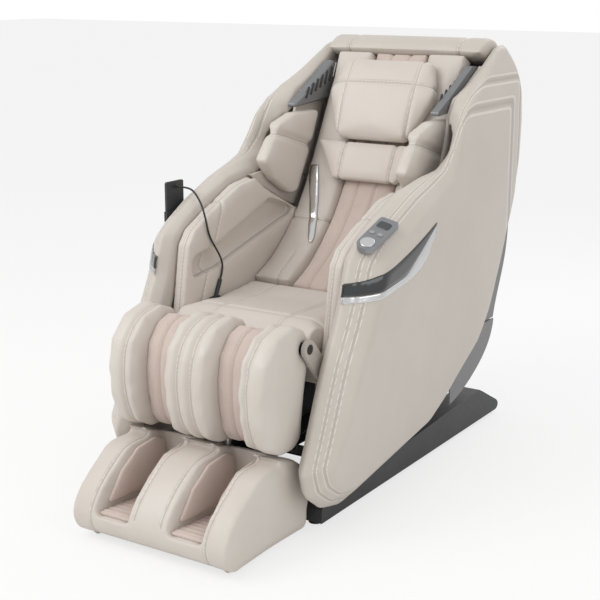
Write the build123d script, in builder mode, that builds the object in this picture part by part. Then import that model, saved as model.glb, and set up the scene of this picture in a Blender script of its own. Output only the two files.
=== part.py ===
"""Full-body massage chair: a padded cabin that tilts and slides on a low base, with a lifting leg rest."""
from math import cos, radians, sin, tan
import os

from build123d import *

os.makedirs("parts", exist_ok=True)

# Frame: millimetres, +Z up, -Y the way the sitter faces, +X the sitter's left, origin on the floor.
HAIR = 0.5  # gap between neighbouring pieces of one body
RUNNING = 0.05  # radial clearance of a shaft in its bearing
CLEAR = 2.0  # gap between bodies that pass each other

# Side shells
RIM_X = 292.0  # inner face of each shell's turned-in rim
NOSE_X = 325.0  # where the rolled edge stands furthest out of the opening
SHOULDER_X = 370.0
CAP_X = 410.0  # flat middle of the shell
CAP_INSET = 44.0
SHELL_PANEL = 14.0
CORE_X = RIM_X - HAIR  # half width of everything between the shells
TRIM_PROUD = 3.2

# Seat and back
SEAT_TOP = 575.0
SEAT_FRONT_Y = -382.0
SEAT_BOTTOM = 470.0
SEAT_HALF_WIDTH = 238.0
HIP_Y, HIP_Z = 352.0, 870.0  # where the curved lower back meets the straight upper back
BACK_ANGLE = 62.8  # upper back, from the floor
BACK_TURN = 42.0  # how far the lower back turns towards the seat
BACK_RADIUS = 603.0
BACK_STRAIGHT = 455.0
COLUMN_HALF_WIDTH = 99.5
CUSHION_DEPTH = 60.0
BOLSTER_RISE = 14.0
FRAME_DEPTH = (62.0, 110.0)
FRAME_X = (201.0, 213.0)
TRACK_X = (86.0, 98.0)
TRACK_DEPTH = (110.0, 140.0)

# Arms
ARM_INNER_X = 240.0
POCKET_X = 280.0
WING_X = 276.0

# Base
FLOOR_GAP = 12.0
SKID_X = (205.0, 284.0)
FRAME_TOP = 40.0
RAIL_X = 130.0
RAIL_WIDTH = 20.0
RAIL_HEIGHT = 14.0
SLIDE_TRAVEL = 130.0
WHEEL_Y, WHEEL_Z = 740.0, 32.0
WHEEL_RADIUS = 29.0
WHEEL_WIDTH = 22.0
WHEEL_AXLE_RADIUS = 5.0

# Tilt pivot and leg pivot
TILT_Y, TILT_Z = 250.0, 310.0
TILT_SHAFT_RADIUS = 12.0
UPRIGHT_X = (158.0, 172.0)
LUG_X = (176.0, 190.0)
LEG_Y, LEG_Z = -455.0, 545.0
LEG_SHAFT_RADIUS = 14.0
LEG_HALF_WIDTH = 268.0
LEG_EAR_X = (274.0, 286.0)

# Leg rest
CALF_WALL_X = 176.0  # inner face of each outer wall
CALF_DIVIDER_X = 68.0
CALF_PAD = 26.0
FOOT_HALF_WIDTH = 265.0
FOOT_WELL_X = (68.0, 180.0)
FOOT_PAD = 13.0
FOOT_SLOPE = (-0.1400, -0.9902)  # the way the foot box slides out of the calf rest
FOOT_TRAVEL = 120.0

# Remote cord
CORD_RADIUS = 3.0

BACK_LOW_ANGLE = BACK_ANGLE - BACK_TURN
BACK_CENTRE = (HIP_Y - BACK_RADIUS * sin(radians(BACK_ANGLE)), HIP_Z + BACK_RADIUS * cos(radians(BACK_ANGLE)))


def back_point(along, depth):
    """Point of the back's side profile: along from the hip (an angle in degrees when negative), depth behind."""
    turn = radians(BACK_ANGLE + min(along, 0.0))
    out = BACK_RADIUS + depth
    run = max(along, 0.0)
    y = BACK_CENTRE[0] + out * sin(turn) + run * cos(turn)
    z = BACK_CENTRE[1] - out * cos(turn) + run * sin(turn)
    return (y, z)


def back_band(front, rear, low, high):
    """Sketch the strip of the back between two depths, from low to high along it."""
    with BuildSketch() as band:
        with BuildLine():
            for depth in (front, rear):
                if low < 0:
                    ThreePointArc(back_point(low, depth), back_point(low / 2, depth), back_point(0, depth))
                if high > 0:
                    Line(back_point(max(low, 0), depth), back_point(high, depth))
            Line(back_point(low, front), back_point(low, rear))
            Line(back_point(high, front), back_point(high, rear))
        make_face()
    return band.sketch


def side_plate(x_start, x_end, profile):
    """Extrude a side profile (Y across, Z up) between two X values."""
    with BuildPart() as plate:
        with BuildSketch(Plane.YZ.offset(x_start)):
            add(profile)
        extrude(amount=x_end - x_start)
    return plate.part


def finish(piece, name):
    """Label a finished piece and write it."""
    piece.label = name
    export_step(piece, f"parts/{name}.step")


def finish_pair(piece, name):
    """Write a piece of the +X side and its mirror image."""
    finish(piece, f"{name}_left")
    finish(mirror(piece, about=Plane.YZ), f"{name}_right")


# ---------------------------------------------------------------------------------------------
# Side shells: a bowed panel with a turned-in rim all round
# ---------------------------------------------------------------------------------------------
# Edge of the shell at the rim, at the nose of its rolled edge, and on the shoulder outside that
RIM_LINE = (
    (-528, 225), (-495, 296), (-448, 413), (-408, 502), (-360, 585), (-325, 660), (-306, 720), (-290, 768),
    (-235, 812), (-130, 866), (-11, 912), (100, 920), (215, 922), (290, 948), (314, 1020), (330, 1105),
    (370, 1158), (462, 1192), (562, 1246), (636, 1292), (682, 1300), (744, 1240), (796, 1158), (812, 1050),
    (800, 930), (756, 790), (650, 620), (524, 415), (430, 322), (300, 262), (190, 196), (90, 156),
    (-60, 130), (-230, 100), (-360, 76), (-447, 106), (-512, 160),
)
NOSE_LINE = (
    (-560, 225), (-528, 296), (-481, 413), (-441, 502), (-393, 585), (-358, 660), (-345, 716), (-322, 772),
    (-258, 815), (-148, 872), (-18, 925), (80, 948), (190, 956), (262, 990), (290, 1050), (312, 1115),
    (364, 1168), (458, 1206), (550, 1260), (624, 1302), (674, 1304), (740, 1240), (796, 1158), (812, 1050),
    (800, 930), (756, 790), (650, 620), (524, 415), (430, 322), (300, 262), (190, 196), (90, 156),
    (-60, 130), (-230, 100), (-372, 72), (-466, 94), (-540, 150),
)
SHOULDER_LINE = (
    (-525, 240), (-492, 310), (-445, 420), (-405, 508), (-357, 590), (-322, 660), (-308, 710), (-288, 758),
    (-240, 798), (-150, 850), (-24, 905), (80, 938), (150, 966), (200, 1022), (244, 1082), (300, 1128),
    (376, 1164), (470, 1206), (556, 1243), (616, 1264), (656, 1256), (700, 1208), (735, 1130), (745, 1040),
    (735, 935), (698, 812), (604, 652), (488, 458), (398, 366), (280, 302), (172, 234), (78, 188),
    (-62, 166), (-228, 140), (-356, 120), (-440, 138), (-500, 180),
)
PLAN_BULGE = ((399, -700), (406, -330), (CAP_X, -60), (CAP_X - 1, 150), (398, 420), (376, 620), (348, 760), (318, 880))
FRONT_BULGE = ((352, 0), (385, 150), (405, 380), (CAP_X, 640), (409, 850), (396, 1000), (372, 1130), (336, 1250), (310, 1360))


def shift_points(points, neighbours, distance):
    """Move each point square to the line through its two neighbours."""
    moved = []
    for here, (before, after) in zip(points, neighbours):
        run, rise = after[0] - before[0], after[1] - before[1]
        length = (run**2 + rise**2) ** 0.5
        moved.append((here[0] + distance * rise / length, here[1] - distance * run / length))
    return moved


def inset(points, distance):
    """Shrink a closed clockwise outline by a distance."""
    return shift_points(points, list(zip(points[-1:] + points[:-1], points[1:] + points[:1])), distance)


def inner_line(points, distance):
    """Copy an open line on its right-hand side."""
    return shift_points(points, list(zip(points[:1] + points[:-1], points[1:] + points[-1:])), distance)


def closed_outline(points):
    """Sketch the closed outline through the points."""
    with BuildSketch() as outline:
        with BuildLine():
            Polyline(*points, close=True)
        make_face()
    return outline.sketch


def bulge_prism(plane, points, grow, length):
    """Prism from the rim plane out to a bowed line, moved outwards by grow."""
    with BuildPart() as prism:
        with BuildSketch(plane):
            with BuildLine():
                moved = [(x + grow, across) for x, across in points]
                Spline(*moved)
                Polyline(moved[-1], (RIM_X - 60, moved[-1][1]), (RIM_X - 60, moved[0][1]), moved[0])
            make_face()
        extrude(amount=length)
    return prism.part


def shell_body(grow):
    """The shell as a full solid, every face moved outwards by grow."""
    sections = ((RIM_X, RIM_LINE), (NOSE_X, NOSE_LINE), (SHOULDER_X, SHOULDER_LINE),
                (CAP_X, inset(SHOULDER_LINE, CAP_INSET)))
    with BuildPart() as body:
        for x, line in sections:
            with BuildSketch(Plane.YZ.offset(x + (grow if x == CAP_X else 0))):
                add(closed_outline(inset(line, -grow)))
        loft(ruled=True)
        add(bulge_prism(Plane.XY, PLAN_BULGE, grow, 1400), mode=Mode.INTERSECT)
        add(bulge_prism(Plane.XZ.offset(-1000), FRONT_BULGE, grow, 2000), mode=Mode.INTERSECT)
    return body.part


with BuildPart() as hollow:
    add(side_plate(RIM_X - 1, CAP_X, closed_outline(inset(SHOULDER_LINE, CAP_INSET + SHELL_PANEL))))
    add(bulge_prism(Plane.XY, PLAN_BULGE, -SHELL_PANEL, 1400), mode=Mode.INTERSECT)
    add(bulge_prism(Plane.XZ.offset(-1000), FRONT_BULGE, -SHELL_PANEL, 2000), mode=Mode.INTERSECT)
with BuildPart() as side_shell:
    add(shell_body(0))
    add(hollow.part, mode=Mode.SUBTRACT)
finish_pair(side_shell.part, "side_shell")


# ---------------------------------------------------------------------------------------------
# Trim swoosh on each shell: a black band over a bright one
# ---------------------------------------------------------------------------------------------
TRIM_START_X = 320.0
raised_body = shell_body(TRIM_PROUD)
clear_body = shell_body(0.2)


def trim_solid(profile):
    """Keep the part of a side profile that stands just proud of the shell's outer face."""
    with BuildPart() as trim:
        add(side_plate(TRIM_START_X, CAP_X + 2 * TRIM_PROUD, profile))
        add(raised_body, mode=Mode.INTERSECT)
        add(clear_body, mode=Mode.SUBTRACT)
    return trim.part


BLACK_TOP = ((-420, 708), (-341, 709), (-306, 717), (-261, 731), (-180, 752), (-80, 784), (20, 826))
BLACK_FOOT = ((-60, 755), (-110, 716), (-220, 690), (-320, 676), (-420, 672))
BRIGHT_FOOT = ((28, 790), (-60, 708), (-210, 672), (-320, 657), (-420, 652))
with BuildSketch() as black_band:
    with BuildLine():
        Spline(*BLACK_TOP)
        Polyline(BLACK_TOP[-1], (44, 826), (-40, 778), (-60, 755))
        Spline(*BLACK_FOOT)
        Line(BLACK_FOOT[-1], BLACK_TOP[0])
    make_face()
with BuildSketch() as bright_band:
    with BuildLine():
        Spline(*BRIGHT_FOOT)
        Polyline(BRIGHT_FOOT[-1], (-420, 800), (44, 826), BRIGHT_FOOT[0])
    make_face()
    with BuildLine():
        cover_line = (Spline(*BLACK_FOOT), Polyline(BLACK_FOOT[-1], (-420, 900), (80, 900), (44, 826), (-40, 778), (-60, 755)))
    make_face(mode=Mode.SUBTRACT)
finish_pair(trim_solid(black_band.sketch), "trim_black")
finish_pair(trim_solid(bright_band.sketch), "trim_silver")

# ---------------------------------------------------------------------------------------------
# Arm rests: inner walls with a forearm channel and a hand pocket
# ---------------------------------------------------------------------------------------------
with BuildSketch() as arm_profile:
    with BuildLine():
        Polyline((-340, 474), (330, 474), (330, 762), (236, 800), (112, 866), (62, 904), (-30, 892), (-180, 828),
                 (-262, 786), (-296, 742), (-314, 640), (-340, 474))
    make_face()
    fillet(arm_profile.vertices().filter_by_position(Axis.X, -300, -260), 12)
with BuildSketch() as channel_profile:
    with BuildLine():
        Polyline((-284, 640), (-150, 655), (285, 765), (236, 790), (137, 822), (-148, 722), (-276, 700), (-284, 640))
    make_face()
    fillet(channel_profile.vertices().filter_by_position(Axis.X, -290, -270), 18)
with BuildPart() as arm_rest:
    add(side_plate(ARM_INNER_X, CORE_X, arm_profile.sketch))
    add(side_plate(ARM_INNER_X - 1, POCKET_X, channel_profile.sketch), mode=Mode.SUBTRACT)
finish_pair(arm_rest.part, "arm_rest")

# ---------------------------------------------------------------------------------------------
# Wing linings, speakers and shoulder pads, stacked inwards from the shell rims
# ---------------------------------------------------------------------------------------------
with BuildSketch() as wing_profile:
    with BuildLine():
        Polyline((68, 906), (118, 870), (242, 804), (334, 766), (400, 850), (584, 1220), (570, 1242), (460, 1180),
                 (378, 1150), (342, 1100), (324, 1015), (298, 952), (215, 914), (68, 906))
    make_face()
    fillet(wing_profile.vertices().filter_by_position(Axis.X, 270, 390), 8)
with BuildPart() as wing_pad:
    add(side_plate(WING_X, CORE_X, wing_profile.sketch))
finish_pair(wing_pad.part, "wing_pad")

SPEAKER_X = 246.0
with BuildSketch() as speaker_profile:
    with BuildLine():
        Polyline((258, 1098), (355, 1143), (530, 1240), (572, 1236), (572, 1176), (540, 1118), (258, 1098))
    make_face()
    fillet(speaker_profile.vertices(), 8)
with BuildPart() as speaker:
    add(side_plate(SPEAKER_X, WING_X - HAIR, speaker_profile.sketch))
    chamfer(speaker.faces().sort_by(Axis.X)[0].edges(), 5)
finish_pair(speaker.part, "speaker")

SHOULDER_PAD_X = 228.0
with BuildSketch() as shoulder_profile:
    with BuildLine():
        Polyline((90, 948), (180, 1064), (270, 1090), (428, 1088), (372, 960), (290, 824), (246, 822), (150, 880), (90, 948))
    make_face()
    fillet(shoulder_profile.vertices(), 16)
with BuildPart() as shoulder_pad:
    add(side_plate(SHOULDER_PAD_X, WING_X - HAIR, shoulder_profile.sketch))
    fillet(shoulder_pad.faces().sort_by(Axis.X)[0].edges(), 9)
finish_pair(shoulder_pad.part, "shoulder_pad")

# ---------------------------------------------------------------------------------------------
# Seat and back upholstery
# ---------------------------------------------------------------------------------------------
seat_rear_top = back_point(-BACK_TURN, -BOLSTER_RISE)
seat_rear_low = back_point(-BACK_TURN, CUSHION_DEPTH)
SOCKET_Y = (-205.0, -165.0)
SOCKET_DEPTH = 16.0
with BuildPart() as seat_cushion:
    with BuildSketch(Plane.YZ.offset(-SEAT_HALF_WIDTH)):
        with BuildLine():
            Line((SEAT_FRONT_Y, SEAT_BOTTOM + HAIR), (SEAT_FRONT_Y, SEAT_TOP - 38))
            ThreePointArc((SEAT_FRONT_Y, SEAT_TOP - 38), (SEAT_FRONT_Y + 11, SEAT_TOP - 11), (SEAT_FRONT_Y + 38, SEAT_TOP))
            Line((SEAT_FRONT_Y + 38, SEAT_TOP), (-120, SEAT_TOP - 8))
            Line((-120, SEAT_TOP - 8), (seat_rear_top[0] - 8, SEAT_TOP + 8))
            Polyline((seat_rear_top[0] - 8, SEAT_TOP + 8), (seat_rear_low[0] - HAIR, seat_rear_low[1] - HAIR),
                     (seat_rear_low[0] - HAIR, SEAT_BOTTOM + HAIR), (SEAT_FRONT_Y, SEAT_BOTTOM + HAIR))
        make_face()
    extrude(amount=2 * SEAT_HALF_WIDTH)
    with BuildSketch(Plane.XY.offset(SEAT_BOTTOM)):
        with Locations((-SEAT_HALF_WIDTH + SOCKET_DEPTH / 2, sum(SOCKET_Y) / 2)):
            Rectangle(SOCKET_DEPTH, SOCKET_Y[1] - SOCKET_Y[0])
    extrude(amount=150, mode=Mode.SUBTRACT)
finish(seat_cushion.part, "seat_cushion")

with BuildPart() as back_cushion:
    add(side_plate(-COLUMN_HALF_WIDTH, COLUMN_HALF_WIDTH,
                   back_band(0, CUSHION_DEPTH, -BACK_TURN, BACK_STRAIGHT)))
finish(back_cushion.part, "back_cushion")

with BuildPart() as back_bolster:
    add(side_plate(COLUMN_HALF_WIDTH + HAIR, SEAT_HALF_WIDTH,
                   back_band(-BOLSTER_RISE, CUSHION_DEPTH, -BACK_TURN, BACK_STRAIGHT)))
finish_pair(back_bolster.part, "back_bolster")

# Bright accent: a leaning diamond let on to each bolster
with BuildPart() as back_accent:
    add(side_plate(COLUMN_HALF_WIDTH + HAIR, SEAT_HALF_WIDTH - 1,
                   back_band(-BOLSTER_RISE - 4.3, -BOLSTER_RISE - 0.3, -BACK_TURN, 80)))
    with BuildSketch(Plane.XZ):
        with BuildLine():
            Polyline((226, 930), (236, 850), (132, 664), (110, 700), (160, 800), (226, 930))
        make_face()
    extrude(amount=-600, mode=Mode.INTERSECT)
finish_pair(back_accent.part, "back_accent")

NECK_RANGE = (-1.5, 119.0)
NECK_DEPTH = (-46.0, -BOLSTER_RISE - HAIR)
upper_back = Plane(origin=(0, *back_point(0, NECK_DEPTH[1])), x_dir=(1, 0, 0),
                   z_dir=(0, -sin(radians(BACK_ANGLE)), cos(radians(BACK_ANGLE))))
with BuildPart() as neck_pad:
    with BuildSketch(upper_back):
        with BuildLine():
            Polyline((-118, -14), (118, -14), (205, 119), (-205, 119), (-118, -14))
        make_face()
    extrude(amount=NECK_DEPTH[1] - NECK_DEPTH[0])
finish(neck_pad.part, "neck_pad")

PILLOW_RANGE = (121.0, 405.0)
PILLOW_DEPTH = (-78.0, -BOLSTER_RISE - HAIR)
with BuildPart() as head_pillow:
    with BuildSketch(upper_back) as pillow_face:
        with BuildLine():
            Polyline((-132, 121), (132, 121), (200, 280), (160, 405), (-160, 405), (-200, 280), (-132, 121))
        make_face()
        fillet(pillow_face.vertices(), 30)
    extrude(amount=PILLOW_DEPTH[1] - PILLOW_DEPTH[0])
    chamfer(head_pillow.faces().sort_by(Axis.Y)[0].edges(), 14)
finish(head_pillow.part, "head_pillow")

# ---------------------------------------------------------------------------------------------
# Head cap and rear covers
# ---------------------------------------------------------------------------------------------
cap_low = back_point(BACK_STRAIGHT + 2, -10)
cap_heel = back_point(BACK_STRAIGHT + 2, CUSHION_DEPTH + 8)
with BuildPart() as head_cap:
    with BuildSketch(Plane.YZ.offset(-CORE_X)):
        with BuildLine():
            Spline(cap_low, (590, 1310), (640, 1324), (698, 1300), (726, 1250))
            Polyline((726, 1250), (706, 1236), cap_heel, cap_low)
        make_face()
    extrude(amount=2 * CORE_X)
finish(head_cap.part, "head_cap")

COVER_WALL = 5.0
COVER_LINE = ((732, 1246), (790, 1130), (806, 980), (818, 820), (822, 690), (802, 570), (742, 430), (722, 372))
COVER_CHEEK = ((560, 372), (640, 560), (700, 720), (740, 900))
BELLY_LINE = ((728, 366), (705, 306), (645, 246), (560, 196), (480, 163), (402, 143))
BELLY_CHEEK = ((400, 330), (600, 366))
BELLY_HALF_WIDTH = 195.0
WEB_Y = (604.0, 724.0)


def cover_sheet(half_width, points):
    """A bent sheet whose outer face runs through the points."""
    with BuildPart() as sheet:
        with BuildSketch(Plane.YZ.offset(-half_width)):
            with BuildLine():
                inner_points = inner_line(points, COVER_WALL)
                Spline(*points)
                Spline(*inner_points)
                Line(points[0], inner_points[0])
                Line(points[-1], inner_points[-1])
            make_face()
        extrude(amount=2 * half_width)
    return sheet.part


def cover_cheek(points, inside):
    """Side profile between a bent line and the straight lines that close it."""
    with BuildSketch() as cheek:
        with BuildLine():
            Spline(*points)
            Polyline(points[-1], *inside, points[0])
        make_face()
    return cheek.sketch


with BuildPart() as rear_cover_upper:
    add(cover_sheet(CORE_X, COVER_LINE))
    for x_start in (-CORE_X, CORE_X - COVER_WALL):
        add(side_plate(x_start, x_start + COVER_WALL, cover_cheek(COVER_LINE, COVER_CHEEK)))
finish(rear_cover_upper.part, "rear_cover_upper")

with BuildPart() as rear_cover_lower:
    add(cover_sheet(BELLY_HALF_WIDTH, BELLY_LINE))
    for x_start in (-CORE_X, CORE_X - COVER_WALL):
        add(side_plate(x_start, x_start + COVER_WALL, cover_cheek(BELLY_LINE, BELLY_CHEEK)))
    with BuildSketch(Plane.XY.offset(BELLY_LINE[0][1] - COVER_WALL - 4)):
        with Locations((0, sum(WEB_Y) / 2)):
            Rectangle(2 * CORE_X, WEB_Y[1] - WEB_Y[0])
    extrude(amount=COVER_WALL)
finish(rear_cover_lower.part, "rear_cover_lower")

# ---------------------------------------------------------------------------------------------
# Steel frames inside the cabin
# ---------------------------------------------------------------------------------------------
SEAT_RAIL_X = (176.0, 200.0)
SEAT_RAIL_Z = (430.0, 470.0)
CROSS_DEPTH = 40.0
CROSS_FRONT_Y = (-395.0, -355.0)
CROSS_REAR_Y = (300.0, 340.0)
with BuildPart() as seat_frame:
    with BuildSketch(Plane.XY.offset(SEAT_RAIL_Z[0])):
        for sign in (-1, 1):
            with Locations((sign * sum(SEAT_RAIL_X) / 2, (CROSS_FRONT_Y[0] + CROSS_REAR_Y[1]) / 2)):
                Rectangle(SEAT_RAIL_X[1] - SEAT_RAIL_X[0], CROSS_REAR_Y[1] - CROSS_FRONT_Y[0])
        for ends in (CROSS_FRONT_Y, CROSS_REAR_Y):
            with Locations((0, sum(ends) / 2)):
                Rectangle(2 * LEG_EAR_X[1], ends[1] - ends[0])
    extrude(amount=SEAT_RAIL_Z[1] - SEAT_RAIL_Z[0])
    for x_start, width in ((LUG_X[0], 14), (-LUG_X[1], 14)):
        with BuildSketch(Plane.YZ.offset(x_start)):
            with Locations((TILT_Y, TILT_Z)):
                Circle(28)
            with Locations((TILT_Y, (TILT_Z + SEAT_RAIL_Z[1]) / 2)):
                Rectangle(56, SEAT_RAIL_Z[1] - TILT_Z)
            with Locations((TILT_Y, TILT_Z)):
                Circle(TILT_SHAFT_RADIUS + RUNNING, mode=Mode.SUBTRACT)
        extrude(amount=width)
    for x_start in (LEG_EAR_X[0], -LEG_EAR_X[1]):
        with BuildSketch(Plane.YZ.offset(x_start)):
            with Locations((LEG_Y, LEG_Z)):
                Circle(26)
            with BuildLine():
                Polyline((LEG_Y - 22, LEG_Z - 14), (CROSS_FRONT_Y[0], SEAT_RAIL_Z[0]),
                         (CROSS_FRONT_Y[1], SEAT_RAIL_Z[0]), (CROSS_FRONT_Y[1], SEAT_RAIL_Z[1]),
                         (-380, 500), (LEG_Y + 18, LEG_Z + 19), (LEG_Y - 22, LEG_Z - 14))
            make_face()
            with Locations((LEG_Y, LEG_Z)):
                Circle(LEG_SHAFT_RADIUS + RUNNING, mode=Mode.SUBTRACT)
        extrude(amount=LEG_EAR_X[1] - LEG_EAR_X[0])
finish(seat_frame.part, "seat_frame")

TOP_TUBE = (432.0, BACK_STRAIGHT)
with BuildPart() as back_frame:
    for x_start in (FRAME_X[0], -FRAME_X[1]):
        with BuildSketch(Plane.YZ.offset(x_start)):
            add(back_band(*FRAME_DEPTH, -BACK_TURN + 4, BACK_STRAIGHT))
            with BuildLine():
                Polyline((95, SEAT_RAIL_Z[0]), (CROSS_REAR_Y[0] - HAIR, SEAT_RAIL_Z[0]),
                         (CROSS_REAR_Y[0] - HAIR, 660), (95, SEAT_RAIL_Z[0]))
            make_face()
        extrude(amount=FRAME_X[1] - FRAME_X[0])
    add(side_plate(-FRAME_X[0], FRAME_X[0], back_band(*FRAME_DEPTH, *TOP_TUBE)))
    for x_start in (TRACK_X[0], -TRACK_X[1]):
        add(side_plate(x_start, x_start + TRACK_X[1] - TRACK_X[0],
                       back_band(*TRACK_DEPTH, -BACK_TURN + 8, BACK_STRAIGHT)))
finish(back_frame.part, "back_frame")

# ---------------------------------------------------------------------------------------------
# Massage carriage on the straight part of the tracks, with its kneading rollers
# ---------------------------------------------------------------------------------------------
UNIT_RANGE = (70.0, 200.0)
UNIT_DEPTH = (130.0, 172.0)
KNEAD_AT, KNEAD_DEPTH = 130.0, 108.0
KNEAD_SHAFT_RADIUS = 8.0
ARM_X = (42.0, 52.0)
ROLLER_SPACING = 92.0
ROLLER_DEPTH = 95.0
ROLLER_RADIUS = 26.0
ROLLER_WIDTH = 20.0
STUB_RADIUS = 6.0
knead_centre = back_point(KNEAD_AT, KNEAD_DEPTH)
roller_centres = [back_point(KNEAD_AT + step * ROLLER_SPACING / 2, ROLLER_DEPTH) for step in (-1, 1)]

with BuildPart() as massage_carriage:
    half_unit = TRACK_X[0] - HAIR
    add(side_plate(-half_unit, half_unit, back_band(*UNIT_DEPTH, *UNIT_RANGE)))
    for x_start in (18, -28):
        with BuildSketch(Plane.YZ.offset(x_start)):
            add(back_band(KNEAD_DEPTH, UNIT_DEPTH[0] + 1, KNEAD_AT - 14, KNEAD_AT + 14))
            with Locations(knead_centre):
                Circle(14)
        extrude(amount=10)
    with BuildSketch(Plane.YZ.offset(-60)):
        with Locations(knead_centre):
            Circle(KNEAD_SHAFT_RADIUS)
    extrude(amount=120)
finish(massage_carriage.part, "massage_carriage")

with BuildPart() as kneading_arms:
    for sign in (-1, 1):
        with BuildSketch(Plane.YZ.offset(sign * ARM_X[0])):
            for centre in roller_centres:
                with BuildLine():
                    Polyline(back_point(KNEAD_AT, KNEAD_DEPTH - 11), centre, back_point(KNEAD_AT, KNEAD_DEPTH + 11),
                             back_point(KNEAD_AT, KNEAD_DEPTH - 11))
                make_face()
                with Locations(centre):
                    Circle(11)
            with Locations(knead_centre):
                Circle(15)
                Circle(KNEAD_SHAFT_RADIUS + RUNNING, mode=Mode.SUBTRACT)
        extrude(amount=sign * (ARM_X[1] - ARM_X[0]))
        with BuildSketch(Plane.YZ.offset(sign * ARM_X[1])):
            with Locations(*roller_centres):
                Circle(STUB_RADIUS)
        extrude(amount=sign * (ROLLER_WIDTH + 5))
finish(kneading_arms.part, "kneading_arms")

with BuildPart() as kneading_rollers:
    for sign in (-1, 1):
        with BuildSketch(Plane.YZ.offset(sign * (ARM_X[1] + 2))):
            with Locations(*roller_centres):
                Circle(ROLLER_RADIUS)
                Circle(STUB_RADIUS, mode=Mode.SUBTRACT)
        extrude(amount=sign * ROLLER_WIDTH)
    tyre_edges = kneading_rollers.edges().filter_by(GeomType.CIRCLE).filter_by(lambda e: e.radius > STUB_RADIUS + 1)
    fillet(tyre_edges, 8)
finish(kneading_rollers.part, "kneading_rollers")

# ---------------------------------------------------------------------------------------------
# Base: frame, skids, slide rails, feet, wheels and power supply
# ---------------------------------------------------------------------------------------------
BASE_FRONT_Y = -388.0
FOOT_RADIUS = 20.0
RAIL_Y = (-300.0, 330.0)
with BuildPart() as base_frame:
    with BuildSketch(Plane.XY.offset(FLOOR_GAP)):
        for sign in (-1, 1):
            with Locations((sign * (SKID_X[0] - 17), 170)):
                Rectangle(34, 1100)
            with Locations((sign * RAIL_X, sum(RAIL_Y) / 2)):
                Rectangle(30, RAIL_Y[1] - RAIL_Y[0])
        for y in (BASE_FRONT_Y + 25, RAIL_Y[0], RAIL_Y[1], 690):
            with Locations((0, y)):
                Rectangle(2 * SKID_X[0], 40)
    extrude(amount=FRAME_TOP - FLOOR_GAP)
finish(base_frame.part, "base_frame")

with BuildPart() as slide_rails:
    with BuildSketch(Plane.XY.offset(FRAME_TOP)):
        for sign in (-1, 1):
            with Locations((sign * RAIL_X, sum(RAIL_Y) / 2)):
                Rectangle(RAIL_WIDTH, RAIL_Y[1] - RAIL_Y[0])
    extrude(amount=RAIL_HEIGHT)
finish(slide_rails.part, "slide_rails")

WHEEL_X = sum(SKID_X) / 2
WHEEL_SLOT = WHEEL_WIDTH + 4
with BuildPart() as base_skid:
    with BuildSketch(Plane.YZ.offset(SKID_X[0])):
        with BuildLine():
            Line((BASE_FRONT_Y, FLOOR_GAP), (790, FLOOR_GAP))
            Spline((790, FLOOR_GAP), (811, 28), (770, 62), (698, 100), (610, 140), (530, 160), (456, 165), (370, 150),
                   (240, 117), (0, 92), (-366, 74), tangents=[(1, 0.1), (-1, -0.05)])
            Line((-366, 74), (BASE_FRONT_Y, 52))
            Line((BASE_FRONT_Y, 52), (BASE_FRONT_Y, FLOOR_GAP))
        make_face()
    extrude(amount=SKID_X[1] - SKID_X[0])
    with BuildSketch(Plane.XY):
        with Locations((WHEEL_X, WHEEL_Y)):
            Rectangle(WHEEL_SLOT, 2 * WHEEL_RADIUS + 14)
    extrude(amount=WHEEL_Z + WHEEL_RADIUS + 5, mode=Mode.SUBTRACT)
    with BuildSketch(Plane.YZ.offset(WHEEL_X - 22)):
        with Locations((WHEEL_Y, WHEEL_Z)):
            Circle(WHEEL_AXLE_RADIUS)
    extrude(amount=44, mode=Mode.SUBTRACT)
finish_pair(base_skid.part, "base_skid")

with BuildPart() as wheel_axles:
    for sign in (-1, 1):
        with BuildSketch(Plane.YZ.offset(sign * (WHEEL_X - 22))):
            with Locations((WHEEL_Y, WHEEL_Z)):
                Circle(WHEEL_AXLE_RADIUS)
        extrude(amount=sign * 44)
finish(wheel_axles.part, "wheel_axles")

with BuildPart() as transport_wheel:
    with BuildSketch(Plane.YZ.offset(WHEEL_X - WHEEL_WIDTH / 2)):
        with Locations((WHEEL_Y, WHEEL_Z)):
            Circle(WHEEL_RADIUS)
            Circle(WHEEL_AXLE_RADIUS + RUNNING, mode=Mode.SUBTRACT)
    extrude(amount=WHEEL_WIDTH)
    rim_edges = transport_wheel.edges().filter_by(GeomType.CIRCLE).filter_by(lambda e: e.radius > WHEEL_AXLE_RADIUS + 1)
    fillet(rim_edges, 3)
finish_pair(transport_wheel.part, "transport_wheel")

with BuildPart() as base_feet:
    with BuildSketch(Plane.XY):
        for sign in (-1, 1):
            with Locations((sign * WHEEL_X, BASE_FRONT_Y + 30), (sign * WHEEL_X, 640)):
                Circle(FOOT_RADIUS)
    extrude(amount=FLOOR_GAP)
finish(base_feet.part, "base_feet")

POWER_Y = (622.0, 722.0)
POWER_TOP = 86.0
with BuildPart() as power_box:
    with BuildSketch(Plane.XY.offset(FRAME_TOP)):
        with Locations((0, sum(POWER_Y) / 2)):
            RectangleRounded(190, POWER_Y[1] - POWER_Y[0], 6)
    extrude(amount=POWER_TOP - FRAME_TOP)
finish(power_box.part, "power_box")

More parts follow.
